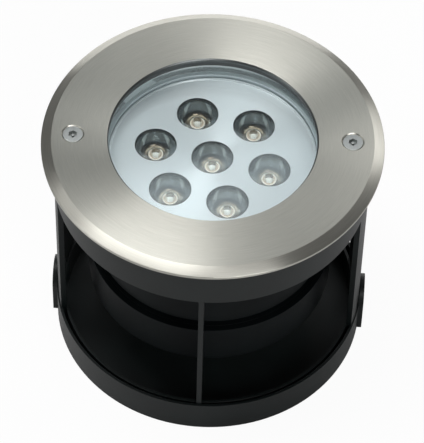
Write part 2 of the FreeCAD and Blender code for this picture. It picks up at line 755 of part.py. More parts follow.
def build_board():
    board = turned("led_board", box_outline(0, board_radius, board_low, emitter_seat))
    pad = turned("thermal_pad", box_outline(0, board_radius, floor_top, board_low))
    screw_hole = box_outline(0, board_screw_radius + slip, floor_top - past, emitter_seat + past)
    lead_hole = box_outline(0, lead_half_gap + lead_radius + slip, floor_top - past, emitter_seat + past)
    for body in (board, pad):
        bore_ring(body, body.Label + "_screw_hole", screw_hole, board_screw_pitch, 3,
                  board_screw_angle)
        bore_ring(body, body.Label + "_lead_hole", lead_hole, lead_pitch, 1, lead_angle)
    screws = new_body("board_screws")
    screw_tip = emitter_seat - board_screw_length + screw_tip_gap
    stud_ring(screws, "board_screw", [
        (0, screw_tip), (board_screw_radius, screw_tip),
        (board_screw_radius, emitter_seat), (board_head_radius, emitter_seat),
        (board_head_radius, emitter_seat + board_head_height), (0, emitter_seat + board_head_height)],
        board_screw_pitch, 3, board_screw_angle)


# ---- lamp: leads, chamber and driver -------------------------------------------------------------

def lead_circles(sketch, radius):
    """Two circles, one for each lead, side by side on the lead line."""
    add_circle(sketch, lead_pitch, lead_half_gap, radius)
    add_circle(sketch, lead_pitch, -lead_half_gap, radius)


def turned_flat_sketch(body, name, lift):
    """A level sketch whose X axis points along the lead line."""
    return new_sketch(body, name, "XY_Plane", lift=lift, turn=lead_angle, turn_axis=(0, 0, 1))


def build_leads():
    driver_top = chamber_floor_top + post_height + driver_plate_thick + driver_height
    body = new_body("driver_leads")
    sketch = turned_flat_sketch(body, "leads_outline", driver_top)
    lead_circles(sketch, lead_radius)
    extrude(body, "Pad", "leads", sketch, length=emitter_seat + lead_plug_in - driver_top)

    body = new_body("lead_grommet")
    spin(body, "Revolution", "bush", [
        (0, floor_low - grommet_flange_thick), (grommet_radius + grommet_flange,
                                                floor_low - grommet_flange_thick),
        (grommet_radius + grommet_flange, floor_low), (grommet_radius, floor_low),
        (grommet_radius, floor_top), (0, floor_top)], lead_pitch, lead_angle)
    sketch = turned_flat_sketch(body, "bush_holes_outline", floor_top + past)
    lead_circles(sketch, lead_radius + thread_gap)
    extrude(body, "Pocket", "bush_holes", sketch)

    body = new_body("lead_terminal")
    sketch = turned_flat_sketch(body, "terminal_outline", emitter_seat)
    half_length = terminal_length / 2.0
    half_width = terminal_width / 2.0
    add_polygon(sketch, [(lead_pitch - half_width, -half_length), (lead_pitch + half_width, -half_length),
                         (lead_pitch + half_width, half_length), (lead_pitch - half_width, half_length)])
    extrude(body, "Pad", "terminal", sketch, length=terminal_height)
    sketch = turned_flat_sketch(body, "terminal_holes_outline", emitter_seat + lead_plug_in)
    lead_circles(sketch, lead_radius + thread_gap)
    extrude(body, "Pocket", "terminal_holes", sketch)


def build_chamber():
    tie_boss_top = spigot_low
    body = turned("driver_chamber", [
        (0, chamber_bottom), (chamber_radius - chamber_round, chamber_bottom),
        (chamber_radius, chamber_bottom + chamber_round), (chamber_radius, step_height),
        (chamber_inner, step_height), (chamber_inner, chamber_floor_top), (0, chamber_floor_top)])
    stud_ring(body, "tie_boss", box_outline(0, tie_boss, chamber_floor_top - past, tie_boss_top),
              tie_pitch, 4, tie_first_angle)
    bore_ring(body, "tie_way", box_outline(0, tie_radius + slip, chamber_bottom - past,
                                           tie_boss_top + past), tie_pitch, 4, tie_first_angle)
    post_top = chamber_floor_top + post_height
    stud_ring(body, "post", box_outline(0, post_radius, chamber_floor_top - past, post_top),
              post_pitch, 3, post_angle)
    bore_ring(body, "post_hole", box_outline(0, driver_screw_radius + thread_gap,
                                             post_top - driver_screw_bite - screw_tip_gap, post_top + past),
              post_pitch, 3, post_angle)
    spin(body, "Groove", "gland_hole", box_outline(0, gland_thread + slip, chamber_bottom - past,
                                                   chamber_floor_top + past))

    seal = doc.addObject("Part::Torus", "chamber_seal")
    seal.Label = "chamber_seal"
    seal.setExpression("Radius2", (ring_radius - slip).text)
    seal.setExpression("Radius1", (neck_radius - ring_radius + slip).text)
    seal.setExpression("Placement.Base.z", (step_height - ring_drop).text)
    pieces.append(seal)

    screws = new_body("chamber_screws")
    head_top = chamber_bottom - tie_head_gap
    stud_ring(screws, "tie_screw", [
        (0, head_top - tie_head_height), (tie_head_radius, head_top - tie_head_height),
        (tie_head_radius, head_top), (tie_radius, head_top), (tie_radius, spigot_low + tie_bite),
        (0, spigot_low + tie_bite)], tie_pitch, 4, tie_first_angle)


def build_driver():
    plate_seat = chamber_floor_top + post_height
    plate_face = plate_seat + driver_plate_thick
    body = turned("driver_plate", box_outline(0, driver_plate_radius, plate_seat, plate_face))
    bore_ring(body, "driver_plate_hole", box_outline(0, driver_screw_radius + slip, plate_seat - past,
                                                     plate_face + past),
              post_pitch, 3, post_angle)
    screws = new_body("driver_screws")
    stud_ring(screws, "driver_screw", [
        (0, plate_seat - driver_screw_bite), (driver_screw_radius, plate_seat - driver_screw_bite),
        (driver_screw_radius, plate_face), (board_head_radius, plate_face),
        (board_head_radius, plate_face + board_head_height), (0, plate_face + board_head_height)],
        post_pitch, 3, post_angle)

    body = new_body("driver_module")
    half_width = driver_width / 2.0
    short_length = driver_half_length - driver_edge
    short_width = half_width - driver_edge
    sketch = new_sketch(body, "case_outline", "XY_Plane", lift=plate_face)
    add_polygon(sketch, [
        (-driver_half_length, -short_width), (-short_length, -half_width), (short_length, -half_width),
        (driver_half_length, -short_width), (driver_half_length, short_width), (short_length, half_width),
        (-short_length, half_width), (-driver_half_length, short_width)])
    extrude(body, "Pad", "case", sketch, length=driver_height)


# ---- lamp: cable gland ---------------------------------------------------------------------------

def hex_piece(label, across_flats, low, height):
    """A hexagon prism on the Z axis."""
    body = new_body(label)
    sketch = new_sketch(body, label + "_hex_outline", "XY_Plane", lift=low)
    add_polygon(sketch, hexagon(across_flats))
    extrude(body, "Pad", label + "_hex", sketch, length=height)
    return body


def build_gland():
    washer_low = chamber_bottom - gland_washer_thick
    hex_low = washer_low - gland_hex_height
    spigot_end = hex_low - gland_spigot_length
    spigot_radius = gland_thread - gland_spigot_step
    nut_top = hex_low - slip
    nut_low = nut_top - gland_nut_height
    body = hex_piece("gland_body", gland_hex, hex_low, gland_hex_height)
    thread_top = chamber_floor_top + locknut_height
    spin(body, "Revolution", "gland_threads", [
        (0, spigot_end), (spigot_radius, spigot_end), (spigot_radius, hex_low + past),
        (gland_thread, hex_low + past), (gland_thread, thread_top), (0, thread_top)])
    seal_radius = gland_thread - gland_sleeve_wall
    seal_top = spigot_end + gland_seal_length
    spin(body, "Groove", "gland_bore", [
        (0, spigot_end - past), (seal_radius, spigot_end - past), (seal_radius, seal_top),
        (gland_bore, seal_top), (gland_bore, thread_top + past), (0, thread_top + past)])

    body = hex_piece("gland_locknut", locknut_across, chamber_floor_top, locknut_height)
    spin(body, "Groove", "locknut_bore",
         box_outline(0, gland_thread + thread_gap, chamber_floor_top - past, thread_top + past))
    turned("gland_washer", box_outline(gland_thread + slip, gland_thread + gland_washer_width, washer_low,
                                       chamber_bottom))
    turned("gland_seal", box_outline(cable_radius, seal_radius, spigot_end, seal_top))

    body = hex_piece("gland_nut", gland_nut_hex, nut_low, gland_nut_height)
    spin(body, "Groove", "nut_bore", [
        (0, nut_low - past), (gland_nut_mouth, nut_low - past), (gland_nut_mouth, spigot_end - slip),
        (spigot_radius + thread_gap, spigot_end - slip),
        (spigot_radius + thread_gap, nut_top + past), (0, nut_top + past)])


def check_and_export():
    """Stop on any failed object or bad shape, then write one STEP file for each piece."""
    doc.recompute()
    for item in doc.Objects:
        if "Invalid" in item.State or "Error" in item.State:
            raise RuntimeError("%s failed: %s" % (item.Label, item.State))
    for piece in pieces:
        if piece.Shape.isNull() or not piece.Shape.isValid():
            raise RuntimeError("%s has a bad shape" % piece.Label)
    os.makedirs("parts", exist_ok=True)
    for piece in pieces:
        piece.Shape.exportStep("parts/%s.step" % piece.Label)
        print("%-18s %2d solids %10.1f mm3" % (piece.Label, len(piece.Shape.Solids), piece.Shape.Volume))


doc.recompute()
build_cage()
build_base_ring()
build_inserts()
build_cover()
build_lamp_housing()
build_glass()
build_trim()
build_face_plate()
build_optics()
build_board()
build_leads()
build_chamber()
build_driver()
build_gland()
check_and_export()
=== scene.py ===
"""Looks of the in-ground well light, in metres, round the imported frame.

The camera, the floor and the soft studio light come first. Then every node of the frame gets a node
material, and the pieces that show take the place of their nodes with finer geometry.
"""
import json
import math

import bmesh
import bpy
from mathutils import Matrix, Quaternion, Vector


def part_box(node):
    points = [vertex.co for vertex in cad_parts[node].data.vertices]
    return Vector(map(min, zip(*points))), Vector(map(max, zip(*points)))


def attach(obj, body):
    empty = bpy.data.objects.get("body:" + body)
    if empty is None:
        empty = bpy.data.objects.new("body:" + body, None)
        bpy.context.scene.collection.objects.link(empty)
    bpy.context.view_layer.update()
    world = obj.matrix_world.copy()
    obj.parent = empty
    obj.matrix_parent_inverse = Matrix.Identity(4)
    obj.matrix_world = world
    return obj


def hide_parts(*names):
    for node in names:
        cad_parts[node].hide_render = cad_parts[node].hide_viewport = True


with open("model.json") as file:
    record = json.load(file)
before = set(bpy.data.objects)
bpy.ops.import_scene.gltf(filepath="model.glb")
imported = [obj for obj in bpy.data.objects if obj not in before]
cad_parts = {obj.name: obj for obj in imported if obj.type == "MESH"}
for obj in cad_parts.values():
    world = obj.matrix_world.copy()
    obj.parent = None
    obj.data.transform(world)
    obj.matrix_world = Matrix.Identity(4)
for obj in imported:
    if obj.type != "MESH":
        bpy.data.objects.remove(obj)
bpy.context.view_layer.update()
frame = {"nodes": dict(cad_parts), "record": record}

MM = 0.001
NODES = frame["nodes"]


# ---- sizes: heights and the cover's radius are the frame's, the others are real sizes ------------

cover_low, cover_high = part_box("cover_ring")
COVER_TOP = cover_high.z
COVER_UNDER = cover_low.z
COVER_RADIUS = cover_high.x
APERTURE_RADIUS = 54.7 * MM
RECESS_RADIUS = 57.8 * MM
LIP_DEPTH = 2.2 * MM
BEVEL_RUN = 5.4 * MM
BEVEL_FALL = 2.6 * MM
CUT_EDGE_RUN = 0.7 * MM
CUT_EDGE_FALL = 0.9 * MM

LED_PITCH = 31.1 * MM
LED_FIRST_ANGLE = -14.0
HOLE_REACH = 11.3 * MM

lens_low, lens_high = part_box("led_lenses")
LENS_UNDER = lens_low.z
LENS_TOP = lens_high.z
LENS_EDGE = LENS_TOP - 0.6 * MM
LENS_RIM = 11.0 * MM
LENS_FOOT = 5.6 * MM
LENS_CAVITY = 4.1 * MM
CURVE_STEPS = 14
CURVE_POWER = 0.52
LENS_CURVE = [(LENS_FOOT + (LENS_RIM - LENS_FOOT) * (i / CURVE_STEPS) ** CURVE_POWER,
               LENS_UNDER + (LENS_EDGE - LENS_UNDER) * i / CURVE_STEPS, 0)
              for i in range(1, CURVE_STEPS)]

RING_STEPS = 256
LENS_STEPS = 96
SMALL_STEPS = 64
DOME_STEPS = 48
PIN_STEPS = 32
FILLET_STEPS = 4
SHARP_ANGLE = math.radians(30)
COPY_SHARP_ANGLE = math.radians(40)
FLAT_ANGLE = math.radians(0.5)
WELD_GAP = 1e-7
FRAME_WELD_GAP = 1e-6


# ---- camera --------------------------------------------------------------------------------------

def look_from_the_photo():
    """The photograph's viewpoint: a long lens, 51.6 degrees up, rolled a little."""
    elevation = math.radians(51.62)
    roll = math.radians(1.67)
    distance = 1513.5 * MM
    aim = Vector((0.77 * MM, 0, COVER_TOP - 70.58 * MM))
    sideways = Vector((1, 0, 0))
    forward = Vector((0, math.cos(elevation), -math.sin(elevation)))
    level_up = Vector((0, math.sin(elevation), math.cos(elevation)))
    right = sideways * math.cos(roll) + level_up * math.sin(roll)
    up = level_up * math.cos(roll) - sideways * math.sin(roll)
    data = bpy.data.cameras.new("camera")
    data.sensor_width = 36.0
    data.lens = 226.7
    data.clip_start = 0.05
    data.clip_end = 20.0
    camera = bpy.data.objects.new("camera", data)
    bpy.context.scene.collection.objects.link(camera)
    place = Matrix((right, up, -forward)).transposed().to_4x4()
    place.translation = aim - forward * distance
    camera.matrix_world = place
    bpy.context.scene.camera = camera


# ---- material building ---------------------------------------------------------------------------

class Paint:
    """A node material under construction, with its principled shader."""

    def __init__(self, name):
        self.material = bpy.data.materials.new(name)
        self.material.use_nodes = True
        self.tree = self.material.node_tree
        self.shader = self.tree.nodes["Principled BSDF"]
        self.output = self.tree.nodes["Material Output"]

    def node(self, kind, **settings):
        """A new node. A setting is one of its attributes or, failing that, an input's value."""
        made = self.tree.nodes.new("ShaderNode" + kind)
        for key, value in settings.items():
            if hasattr(made, key):
                setattr(made, key, value)
            else:
                made.inputs[key.replace("_", " ")].default_value = value
        return made

    def link(self, source, target):
        self.tree.links.new(source, target)

    def set(self, **values):
        """Set values of the principled shader."""
        for key, value in values.items():
            self.shader.inputs[key.replace("_", " ")].default_value = value

    def place(self):
        """The piece's own coordinates, as separate X, Y and Z outputs."""
        coordinates = self.node("TexCoord")
        split = self.node("SeparateXYZ")
        self.link(coordinates.outputs["Object"], split.inputs["Vector"])
        return split.outputs

    def noise(self, scale, detail=4.0):
        """Noise over the piece's own coordinates, with about as many grains to a metre as scale."""
        coordinates = self.node("TexCoord")
        texture = self.node("TexNoise", Scale=scale, Detail=detail)
        self.link(coordinates.outputs["Object"], texture.inputs["Vector"])
        return texture.outputs["Fac"]

    def stops(self, source, stops):
        """A colour ramp through (position, colour) stops."""
        ramp = self.node("ValToRGB")
        elements = ramp.color_ramp.elements
        while len(elements) < len(stops):
            elements.new(0.5)
        for element, (position, colour) in zip(elements, stops):
            element.position = position
            element.color = (*colour, 1.0)
        self.link(source, ramp.inputs["Fac"])
        return ramp.outputs["Color"]

    def ramp(self, source, low, high):
        """A colour that goes from one to the other as the source goes from 0 to 1."""
        return self.stops(source, ((0.0, low), (1.0, high)))

    def mottled(self, noise, low, high):
        """A colour that wanders between two, both reached, as noise seldom leaves 0.3 to 0.7."""
        return self.stops(noise, ((0.3, low), (0.7, high)))

    def by_height(self, low, top, stops):
        """A colour that changes with height, given as (share of the height, colour) stops."""
        height = self.node("MapRange", From_Min=low, From_Max=top)
        self.link(self.place()["Z"], height.inputs["Value"])
        return self.stops(height.outputs["Result"], stops)

    def spread(self, source, low, high):
        """The source mapped from 0..1 to a range."""
        spread = self.node("MapRange", To_Min=low, To_Max=high)
        self.link(source, spread.inputs["Value"])
        return spread.outputs["Result"]

    def colour(self, source):
        self.link(source, self.shader.inputs["Base Color"])

    def glow(self, source, strength):
        """A painted glow: a little light of the piece's own, in the source's colour, on a part that is
        not switched on.
        """
        self.link(source, self.shader.inputs["Emission Color"])
        self.set(Emission_Strength=strength)

    def roughness(self, source, low, high):
        self.link(self.spread(source, low, high), self.shader.inputs["Roughness"])

    def bump(self, source, strength, depth):
        bump = self.node("Bump", Strength=strength, Distance=depth)
        self.link(source, bump.inputs["Height"])
        self.link(bump.outputs["Normal"], self.shader.inputs["Normal"])

    def show_mix(self, share, first, second):
        """Show two shaders mixed: only the first where the share is 0, only the second where it is 1."""
        mix = self.node("MixShader")
        self.link(share, mix.inputs["Fac"])
        self.link(first, mix.inputs[1])
        self.link(second, mix.inputs[2])
        self.link(mix.outputs["Shader"], self.output.inputs["Surface"])


def polar_noise(paint, radial_scale, turn_scale):
    """Noise in rings round Z: fine across the radius and long round the turn."""
    place = paint.place()
    flat = paint.node("CombineXYZ")
    paint.link(place["X"], flat.inputs["X"])
    paint.link(place["Y"], flat.inputs["Y"])
    length = paint.node("VectorMath", operation="LENGTH")
    paint.link(flat.outputs["Vector"], length.inputs[0])
    unit = paint.node("VectorMath", operation="NORMALIZE")
    paint.link(flat.outputs["Vector"], unit.inputs[0])
    turn = paint.node("VectorMath", operation="SCALE", Scale=turn_scale)
    paint.link(unit.outputs["Vector"], turn.inputs[0])
    radial = paint.node("Math", operation="MULTIPLY")
    radial.inputs[1].default_value = radial_scale
    paint.link(length.outputs["Value"], radial.inputs[0])
    lift = paint.node("CombineXYZ")
    paint.link(radial.outputs["Value"], lift.inputs["Z"])
    both = paint.node("VectorMath", operation="ADD")
    paint.link(turn.outputs["Vector"], both.inputs[0])
    paint.link(lift.outputs["Vector"], both.inputs[1])
    texture = paint.node("TexNoise", Scale=1.0, Detail=3.0)
    paint.link(both.outputs["Vector"], texture.inputs["Vector"])
    return texture.outputs["Fac"]


def spun_in_rings(paint, anisotropy):
    """Highlights drawn out as on metal that was brushed or turned in rings round Z."""
    paint.set(Anisotropic=anisotropy, Anisotropic_Rotation=0.25)
    tangent = paint.node("Tangent", direction_type="RADIAL", axis="Z")
    paint.link(tangent.outputs["Tangent"], paint.shader.inputs["Tangent"])


# ---- materials -----------------------------------------------------------------------------------

def brushed_stainless():
    """The cover's steel, brushed in rings."""
    paint = Paint("brushed_stainless")
    rings = polar_noise(paint, 9000.0, 6.0)
    paint.colour(paint.mottled(rings, (0.435, 0.427, 0.385), (0.537, 0.527, 0.478)))
    paint.roughness(rings, 0.30, 0.40)
    paint.bump(rings, 0.15, 0.02 * MM)
    paint.set(Metallic=1.0)
    spun_in_rings(paint, 0.88)
    return paint.material


def cut_edge():
    """The cover's cut inner edge, darker than its brushed face: partly the bare cut steel, partly
    painted shade that dims its highlight.
    """
    paint = Paint("cut_edge")
    fine = paint.noise(2500.0, 2.0)
    paint.colour(paint.mottled(fine, (0.12, 0.13, 0.13), (0.17, 0.18, 0.18)))
    paint.roughness(fine, 0.34, 0.46)
    paint.set(Metallic=1.0)
    return paint.material


def moulded_black(name, low, high, rough_low, rough_high, grain, shine=0.5):
    """Moulded plastic or rubber, or a painted casting, with a fine grain."""
    paint = Paint(name)
    paint.set(Specular_IOR_Level=shine)
    cloud = paint.noise(40.0, 3.0)
    fine = paint.noise(grain, 2.0)
    paint.colour(paint.mottled(cloud, low, high))
    paint.roughness(fine, rough_low, rough_high)
    paint.bump(fine, 0.12, 0.04 * MM)
    return paint.material


def satin_metal(name, low, high, rough_low, rough_high, metallic=1.0):
    """Turned metal with a satin surface."""
    paint = Paint(name)
    rings = polar_noise(paint, 6000.0, 4.0)
    paint.colour(paint.mottled(rings, low, high))
    paint.roughness(rings, rough_low, rough_high)
    paint.bump(rings, 0.05, 0.01 * MM)
    paint.set(Metallic=metallic)
    return paint.material


def spun_silver():
    """The LED plate: silver, spun in rings so fine that only its soft fan of light shows them."""
    paint = Paint("spun_silver")
    rings = polar_noise(paint, 5000.0, 5.0)
    grain = paint.noise(2600.0, 2.0)
    paint.colour(paint.mottled(grain, (0.80, 0.825, 0.84), (0.88, 0.905, 0.92)))
    paint.roughness(rings, 0.36, 0.44)
    paint.bump(grain, 0.06, 0.02 * MM)
    paint.set(Metallic=0.5)
    spun_in_rings(paint, 0.7)
    return paint.material


def painted(name, low, high, rough_low, rough_high):
    """A plain painted or moulded surface, a little cloudy."""
    paint = Paint(name)
    fine = paint.noise(3000.0, 2.0)
    cloud = paint.noise(30.0, 2.0)
    paint.colour(paint.mottled(cloud, low, high))
    paint.roughness(fine, rough_low, rough_high)
    paint.bump(fine, 0.05, 0.02 * MM)
    return paint.material


def window_glass():
    """Clear flat glass: it lets light and shadow rays straight through and mirrors a little."""
    paint = Paint("window_glass")
    smear = paint.noise(25.0, 3.0)
    clear = paint.node("BsdfTransparent")
    paint.link(paint.ramp(smear, (0.93, 0.965, 0.97), (0.97, 0.985, 0.985)), clear.inputs["Color"])
    gloss = paint.node("BsdfGlossy")
    paint.link(paint.spread(smear, 0.05, 0.08), gloss.inputs["Roughness"])
    facing = paint.node("LayerWeight", Blend=0.5)
    steep = paint.node("Math", operation="POWER")
    steep.inputs[1].default_value = 5.0
    paint.link(facing.outputs["Facing"], steep.inputs[0])
    mirrored_head_on = 0.05
    mirrored = paint.node("Math", operation="MULTIPLY_ADD")
    mirrored.inputs[1].default_value = 1.0 - mirrored_head_on
    mirrored.inputs[2].default_value = mirrored_head_on
    paint.link(steep.outputs["Value"], mirrored.inputs[0])
    paint.show_mix(mirrored.outputs["Value"], clear.outputs["BSDF"], gloss.outputs["BSDF"])
    return paint.material


def optic_plastic():
    """Polished acrylic that bends light, and lets the lamps' light through to what lies under it."""
    paint = Paint("optic_plastic")
    smear = paint.noise(200.0, 2.0)
    paint.colour(paint.ramp(smear, (0.93, 0.95, 0.96), (0.97, 0.98, 0.99)))
    paint.roughness(smear, 0.02, 0.06)
    paint.set(IOR=1.49, Transmission_Weight=1.0)
    clear = paint.node("BsdfTransparent", Color=(0.92, 0.95, 0.97, 1.0))
    path = paint.node("LightPath")
    paint.show_mix(path.outputs["Is Shadow Ray"], paint.shader.outputs["BSDF"], clear.outputs["BSDF"])
    return paint.material


def lens_flank_shade(low, top):
    """The mirror flank of a lens as it looks from inside, with painted shade by height: dark under the
    rim and in a band near the foot, blue-grey between, warm at the very foot.
    """
    paint = Paint("lens_flank_shade")
    # painted shade: dark bands under the rim and near the foot of the flank
    paint.colour(paint.by_height(low, top, (
        (0.0, (0.26, 0.20, 0.14)), (0.10, (0.08, 0.09, 0.09)), (0.26, (0.38, 0.455, 0.50)),
        (0.74, (0.40, 0.48, 0.53)), (0.88, (0.14, 0.17, 0.18)))))
    paint.roughness(paint.noise(300.0), 0.05, 0.09)
    paint.set(Metallic=0.78)
    return paint.material


def lens_hollow():
    """The hollow under a lens, which lets the view straight through to the light source."""
    paint = Paint("lens_hollow")
    clear = paint.node("BsdfTransparent")
    tints = paint.ramp(paint.noise(400.0), (0.94, 0.95, 0.95), (0.98, 0.98, 0.98))
    paint.link(tints, clear.inputs["Color"])
    paint.link(clear.outputs["BSDF"], paint.output.inputs["Surface"])
    return paint.material


def ground_glass():
    """The glass disc's ground edge."""
    paint = Paint("ground_edge")
    fine = paint.noise(4000.0, 2.0)
    paint.colour(paint.mottled(fine, (0.70, 0.76, 0.77), (0.80, 0.86, 0.87)))
    paint.roughness(fine, 0.45, 0.6)
    paint.bump(fine, 0.1, 0.03 * MM)
    return paint.material


def led_dome(name, low, high, glow):
    """Silicone over a light source, with a painted glow as if it were lit a little from within."""
    paint = Paint(name)
    colours = paint.mottled(paint.noise(900.0, 2.0), low, high)
    paint.colour(colours)
    paint.roughness(paint.noise(500.0), 0.04, 0.08)
    paint.set(Specular_IOR_Level=0.9)
    # painted glow on a light source that is off
    paint.glow(colours, glow)
    return paint.material


def emitter_body(low, top):
    """A light source's moulded body: peach in its well and on its side, nearly white on its rim, with a
    painted glow.
    """
    paint = Paint("emitter_body")
    peach = (0.62, 0.49, 0.36)
    pale = (0.88, 0.78, 0.65)
    colours = paint.by_height(low, top, ((0.0, peach), (0.80, peach), (0.93, pale), (1.0, pale)))
    paint.colour(colours)
    paint.roughness(paint.noise(500.0), 0.25, 0.4)
    # painted glow that brightens the unlit body
    paint.glow(colours, 0.14)
    return paint.material


def hole_edge_shade():
    """Painted shade on the LED plate's holes: a near-black colour on their walls, where they lie in
    shade.
    """
    paint = Paint("hole_edge_shade")
    fine = paint.noise(2500.0, 2.0)
    paint.colour(paint.mottled(fine, (0.035, 0.042, 0.046), (0.055, 0.064, 0.070)))
    paint.roughness(fine, 0.4, 0.55)
    return paint.material


MATERIALS = {
    "black_plastic": moulded_black("moulded_black", (0.003, 0.005, 0.005), (0.005, 0.008, 0.008),
                                   0.36, 0.5, 2500.0, 0.26),
    "black_casting": moulded_black("cast_black", (0.002, 0.003, 0.0035), (0.004, 0.006, 0.0065),
                                   0.42, 0.56, 1800.0, 0.08),
    "black_rubber": moulded_black("seal_black", (0.060, 0.068, 0.070), (0.080, 0.088, 0.090),
                                  0.55, 0.7, 3000.0),
    "gland_nylon": moulded_black("nylon_black", (0.010, 0.010, 0.011), (0.018, 0.018, 0.018),
                                 0.3, 0.45, 3000.0),
    "stainless": brushed_stainless(),
    "screw_steel": satin_metal("bright_steel", (0.38, 0.40, 0.395), (0.46, 0.48, 0.475), 0.36, 0.46),
    "brass": satin_metal("turned_brass", (0.55, 0.40, 0.16), (0.75, 0.56, 0.24), 0.25, 0.4),
    "satin_aluminium": satin_metal("satin_aluminium", (0.66, 0.71, 0.73), (0.76, 0.81, 0.83),
                                   0.35, 0.5, 0.2),
    "silver_plate": spun_silver(),
    "clear_glass": window_glass(),
    "clear_silicone": painted("milky_silicone", (0.80, 0.85, 0.86), (0.87, 0.92, 0.93), 0.4, 0.55),
    "clear_optic": optic_plastic(),
    "holder_plastic": painted("holder_plastic", (0.08, 0.09, 0.10), (0.12, 0.13, 0.14), 0.25, 0.4),
    "emitter_cream": painted("emitter_cream", (0.86, 0.74, 0.50), (0.95, 0.85, 0.62), 0.3, 0.45),
    "dome_silicone": painted("dome_phosphor", (0.85, 0.75, 0.42), (0.95, 0.88, 0.62), 0.08, 0.16),
    "board_mask": painted("solder_mask", (0.70, 0.71, 0.70), (0.80, 0.81, 0.79), 0.35, 0.5),
    "thermal_grey": painted("thermal_pad", (0.25, 0.28, 0.32), (0.32, 0.35, 0.40), 0.6, 0.8),
    "terminal_white": painted("terminal_white", (0.70, 0.69, 0.65), (0.80, 0.79, 0.75), 0.35, 0.5),
    "lead_red": painted("lead_red", (0.35, 0.02, 0.015), (0.5, 0.03, 0.02), 0.35, 0.5),
    "driver_case": painted("driver_case", (0.05, 0.055, 0.06), (0.08, 0.085, 0.09), 0.4, 0.55),
}

# Node, slot and edge rounding of the lamp's small parts.
SMALL_PARTS = (
    ("glass_clamp_ring", "satin_aluminium", 0.2 * MM), ("clamp_screws", "screw_steel", 0.15 * MM),
    ("chamber_screws", "screw_steel", 0.3 * MM), ("gland_body", "gland_nylon", 0.3 * MM),
    ("gland_nut", "gland_nylon", 0.5 * MM), ("gland_locknut", "gland_nylon", 0.3 * MM),
    ("driver_module", "driver_case", 0.6 * MM), ("driver_plate", "satin_aluminium", 0.2 * MM),
    ("lead_terminal", "terminal_white", 0.3 * MM))


# ---- geometry building ---------------------------------------------------------------------------

def new_object(name, mesh, body, slot):
    """A piece that rides on a body, with its slot's material."""
    piece = bpy.data.objects.new(name, mesh)
    bpy.context.scene.collection.objects.link(piece)
    mesh.materials.clear()
    mesh.materials.append(MATERIALS[slot])
    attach(piece, body)
    return piece


def mesh_of(shape, name):
    """The mesh of a shape whose building is done."""
    mesh = bpy.data.meshes.new(name)
    shape.to_mesh(mesh)
    shape.free()
    return mesh


def rounded(corners):
    """A closed outline of (radius, height, fillet) corners, with each fillet drawn as a curve."""
    points = []
    for i, (across, up, fillet) in enumerate(corners):
        here = Vector((across, up))
        if fillet == 0:
            points.append(here)
            continue
        before = Vector(corners[i - 1][:2])
        after = Vector(corners[(i + 1) % len(corners)][:2])
        to_before = (before - here).normalized()
        to_after = (after - here).normalized()
        half = to_before.angle(to_after) / 2
        back = min(fillet / math.tan(half), (before - here).length / 2, (after - here).length / 2)
        start = here + to_before * back
        end = here + to_after * back
        for step in range(FILLET_STEPS + 1):
            share = step / FILLET_STEPS
            points.append(start * (1 - share) ** 2 + here * 2 * share * (1 - share) + end * share ** 2)
    return points


def turned_into(shape, outline, centre, steps):
    """Add a ring of faces to a mesh: a closed outline turned about an upright axis."""
    rings = []
    for step in range(steps):
        turn = 2 * math.pi * step / steps
        ring = []
        for point in outline:
            on_axis = point.x < WELD_GAP
            if on_axis and rings:
                ring.append(rings[0][len(ring)])
                continue
            ring.append(shape.verts.new((centre.x + point.x * math.cos(turn),
                                         centre.y + point.x * math.sin(turn), point.y)))
        rings.append(ring)
    count = len(outline)
    for step in range(steps):
        ring = rings[step]
        following = rings[(step + 1) % steps]
        for i in range(count):
            j = (i + 1) % count
            corners = []
            for vert in (ring[i], following[i], following[j], ring[j]):
                if vert not in corners:
                    corners.append(vert)
            if len(corners) > 2:
                shape.faces.new(corners)


def weld(shape):
    """Join the vertices that coincide and turn every face outwards."""
    bmesh.ops.remove_doubles(shape, verts=shape.verts, dist=WELD_GAP)
    bmesh.ops.recalc_face_normals(shape, faces=shape.faces)


def lathe(name, corners, body, slot, steps, centres=(Vector((0, 0, 0)),)):
    """A piece turned about Z, at one centre or several, from (radius, height, fillet) corners."""
    outline = rounded(corners)
    shape = bmesh.new()
    for centre in centres:
        turned_into(shape, outline, centre, steps)
    weld(shape)
    mesh = mesh_of(shape, name)
    mesh.shade_smooth()
    return new_object(name, mesh, body, slot)


def turned_copies(name, corners, centres, body, slot, node, steps):
    """The same turned shape at several places, in place of a node."""
    piece = lathe(name, corners, body, slot, steps, centres)
    piece.data.set_sharp_from_angle(angle=COPY_SHARP_ANGLE)
    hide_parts(node)
    return piece


def apply_modifiers(piece):
    """Keep what the modifiers make as the piece's own mesh."""
    graph = bpy.context.evaluated_depsgraph_get()
    made = bpy.data.meshes.new_from_object(piece.evaluated_get(graph))
    piece.modifiers.clear()
    piece.data = made


def cut_cone(piece, centre, low_radius, high_radius, depth, sides=64):
    """Cut an upright cone, cylinder or prism out of a piece."""
    shape = bmesh.new()
    bmesh.ops.create_cone(shape, cap_ends=True, segments=sides, radius1=low_radius,
                          radius2=high_radius, depth=depth, matrix=Matrix.Translation(centre))
    cutter = bpy.data.objects.new("cutter", mesh_of(shape, "cutter"))
    bpy.context.scene.collection.objects.link(cutter)
    modifier = piece.modifiers.new("cut", "BOOLEAN")
    modifier.operation = "DIFFERENCE"
    modifier.solver = "EXACT"
    modifier.object = cutter
    apply_modifiers(piece)
    bpy.data.objects.remove(cutter)


